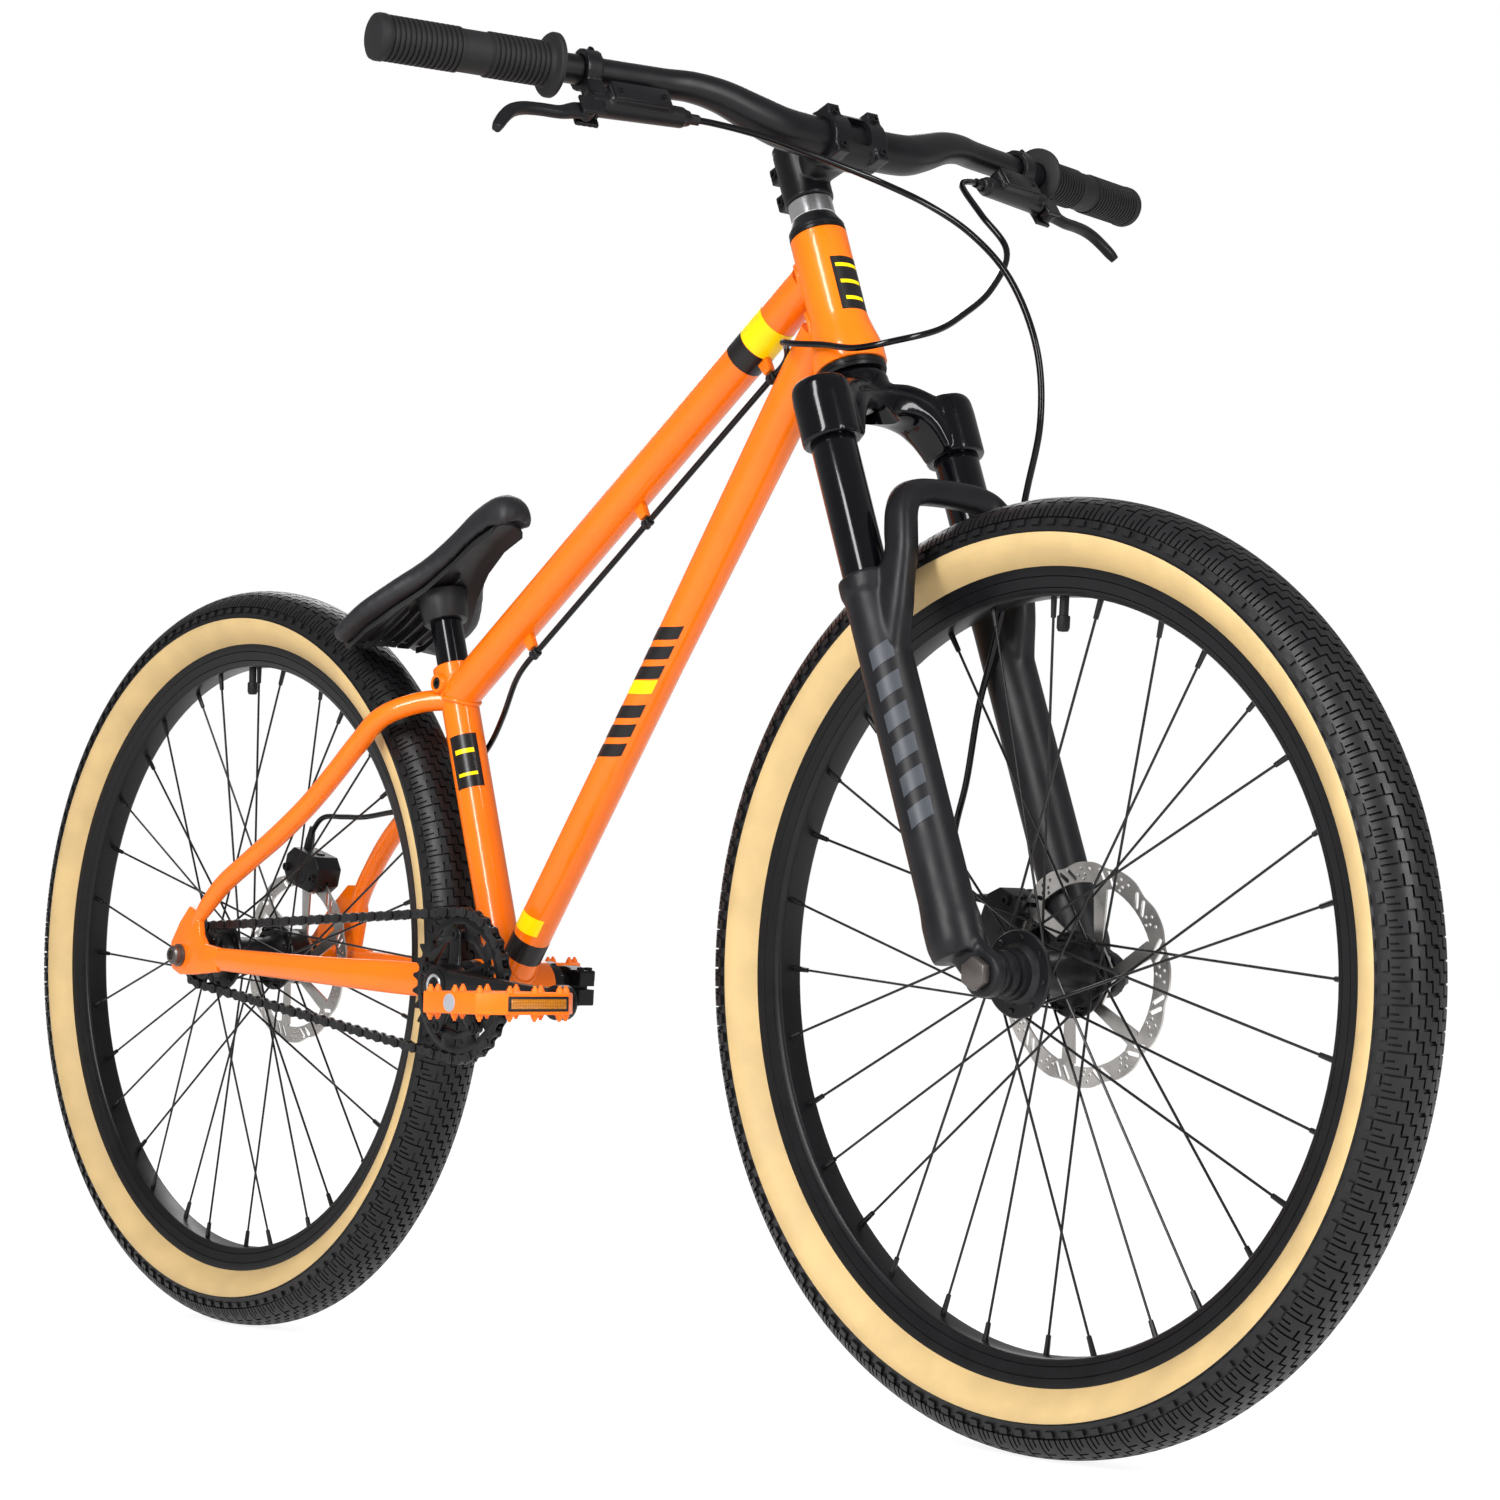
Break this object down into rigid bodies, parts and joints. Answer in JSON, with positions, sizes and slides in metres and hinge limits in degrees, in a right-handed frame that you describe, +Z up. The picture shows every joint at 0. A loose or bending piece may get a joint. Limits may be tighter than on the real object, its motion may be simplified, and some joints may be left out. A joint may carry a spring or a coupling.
{
  "type": "dirt jump bike",
  "caption": "Hardtail dirt jump bike with telescopic fork, riser bar, disc brakes, single gear, platform pedals and a low saddle",
  "frame": {"origin": "on the ground, midway between the two axles, in the middle plane of the wheels", "axes": "+X forward, +Y to the rider's left, +Z up"},
  "size_m": [1.67, 0.7868, 1.0045],
  "materials": {
    "orange_paint": "glossy orange paint",
    "black_metal": "black painted or anodised aluminium",
    "silver_metal": "grey anodised aluminium",
    "bare_steel": "machined steel",
    "dark_steel": "black plated steel",
    "chain_steel": "dark oiled steel",
    "tyre_rubber": "black tread with tan sidewalls",
    "black_rubber": "matt black rubber",
    "black_plastic": "moulded black plastic",
    "orange_plastic": "moulded orange plastic",
    "saddle_cover": "smooth black synthetic cover over foam"
  },
  "bodies": {
    "main_frame": {"frame": "orange_paint", "seat_clamp_bolt": "black_metal", "hose_clip_rear": "black_plastic", "hose_clip_middle": "black_plastic", "hose_clip_front": "black_plastic", "headset_upper_cup": "black_metal", "headset_lower_cup": "black_metal", "bottom_bracket_cup_right": "black_metal", "bottom_bracket_cup_left": "black_metal", "rear_axle": "dark_steel", "rear_caliper": "black_metal", "rear_brake_hose": "black_rubber", "chain": "chain_steel"},
    "seat": {"seatpost": "black_metal", "saddle_base": "black_plastic", "saddle_pad": "saddle_cover"},
    "steering_assembly": {"fork_crown": "black_metal", "stanchion_right": "black_metal", "stanchion_left": "black_metal", "headset_top_cover": "black_metal", "stem_spacer": "silver_metal", "stem": "black_metal", "stem_faceplate": "black_metal", "stem_top_cap": "black_metal", "handlebar": "black_metal", "grip_right": "black_rubber", "grip_left": "black_rubber", "brake_master_right": "black_metal", "brake_master_left": "black_metal", "front_brake_hose": "black_rubber"},
    "knob": {"fork_knob": "black_plastic"},
    "right_lever": {"brake_lever_right": "black_metal"},
    "left_lever": {"brake_lever_left": "black_metal"},
    "fork_slider": {"fork_lowers": "black_metal", "front_axle": "silver_metal", "front_caliper": "black_metal"},
    "front_inner_pad": {"front_pad_inner": "bare_steel"},
    "front_outer_pad": {"front_pad_outer": "bare_steel"},
    "front_wheel": {"front_tyre": "tyre_rubber", "front_rim": "black_metal", "front_hub": "black_metal", "front_spokes_right": "dark_steel", "front_spokes_left": "dark_steel", "front_rotor": "bare_steel"},
    "rear_inner_pad": {"rear_pad_inner": "bare_steel"},
    "rear_outer_pad": {"rear_pad_outer": "bare_steel"},
    "rear_wheel": {"rear_tyre": "tyre_rubber", "rear_rim": "black_metal", "rear_hub": "black_metal", "rear_spokes_right": "dark_steel", "rear_spokes_left": "dark_steel", "rear_rotor": "bare_steel"},
    "cog": {"rear_cog": "chain_steel"},
    "cranks": {"chainring": "black_metal", "right_crank": "black_metal", "left_crank": "black_metal", "pedal_spindle_right": "bare_steel", "pedal_spindle_left": "bare_steel"},
    "right_pedal": {"pedal_right": "orange_plastic"},
    "left_pedal": {"pedal_left": "orange_plastic"}
  },
  "joints": [
    {"name": "steering", "type": "hinge", "parent": "main_frame", "child": "steering_assembly", "pos_m": [0.25454, 0, 0.89098], "axis": [-0.342, 0, 0.9397], "range_deg": [-75, 75], "deforming": ["rear_brake_hose"]},
    {"name": "fork_travel", "type": "slide", "parent": "steering_assembly", "child": "fork_slider", "axis": [-0.342, 0, 0.9397], "range_m": [0, 0.1], "stiffness_N_per_m": 6000, "springref_m": -0.015, "deforming": ["front_brake_hose"]},
    {"name": "front_wheel_spin", "type": "hinge", "parent": "fork_slider", "child": "front_wheel", "pos_m": [0.5, 0, 0.335], "axis": [0, 1, 0], "continuous": true},
    {"name": "rear_wheel_spin", "type": "hinge", "parent": "main_frame", "child": "rear_wheel", "pos_m": [-0.5, 0, 0.335], "axis": [0, 1, 0], "continuous": true},
    {"name": "crank_spin", "type": "hinge", "parent": "main_frame", "child": "cranks", "pos_m": [-0.11302, 0, 0.315], "axis": [0, 1, 0], "continuous": true},
    {"name": "cog_spin", "type": "hinge", "parent": "main_frame", "child": "cog", "pos_m": [-0.5, 0, 0.335], "axis": [0, 1, 0], "continuous": true},
    {"name": "right_pedal_spin", "type": "hinge", "parent": "cranks", "child": "right_pedal", "pos_m": [0.05599, -0.1405, 0.30496], "axis": [0, 1, 0], "continuous": true},
    {"name": "left_pedal_spin", "type": "hinge", "parent": "cranks", "child": "left_pedal", "pos_m": [-0.28202, 0.1405, 0.32504], "axis": [0, 1, 0], "continuous": true},
    {"name": "right_lever_pull", "type": "hinge", "parent": "steering_assembly", "child": "right_lever", "pos_m": [0.26664, -0.23984, 0.94522], "axis": [-0.8375, 0.1563, -0.5235], "range_deg": [0, 18], "stiffness_Nm_per_rad": 1, "springref_deg": -8.59},
    {"name": "left_lever_pull", "type": "hinge", "parent": "steering_assembly", "child": "left_lever", "pos_m": [0.26664, 0.23984, 0.94522], "axis": [0.8375, 0.1563, 0.5235], "range_deg": [0, 18], "stiffness_Nm_per_rad": 1, "springref_deg": -8.59},
    {"name": "front_inner_pad_slide", "type": "slide", "parent": "fork_slider", "child": "front_inner_pad", "axis": [0, 1, 0], "range_m": [0, 0.0004]},
    {"name": "front_outer_pad_slide", "type": "slide", "parent": "fork_slider", "child": "front_outer_pad", "axis": [0, -1, 0], "range_m": [0, 0.0004]},
    {"name": "rear_inner_pad_slide", "type": "slide", "parent": "main_frame", "child": "rear_inner_pad", "axis": [0, 1, 0], "range_m": [0, 0.0004]},
    {"name": "rear_outer_pad_slide", "type": "slide", "parent": "main_frame", "child": "rear_outer_pad", "axis": [0, -1, 0], "range_m": [0, 0.0004]},
    {"name": "seatpost_height", "type": "slide", "parent": "main_frame", "child": "seat", "axis": [-0.2957, 0, 0.9553], "range_m": [0, 0.04]},
    {"name": "fork_knob_turn", "type": "hinge", "parent": "steering_assembly", "child": "knob", "pos_m": [0.32484, 0.0635, 0.76603], "axis": [-0.342, 0, 0.9397], "continuous": true}
  ],
  "couplings": [
    {"joint": "cog_spin", "follows": "crank_spin", "ratio": 2.3077},
    {"joint": "front_inner_pad_slide", "follows": "right_lever_pull", "m_per_rad": 0.00127},
    {"joint": "front_outer_pad_slide", "follows": "right_lever_pull", "m_per_rad": 0.00127},
    {"joint": "rear_inner_pad_slide", "follows": "left_lever_pull", "m_per_rad": 0.00127},
    {"joint": "rear_outer_pad_slide", "follows": "left_lever_pull", "m_per_rad": 0.00127}
  ]
}
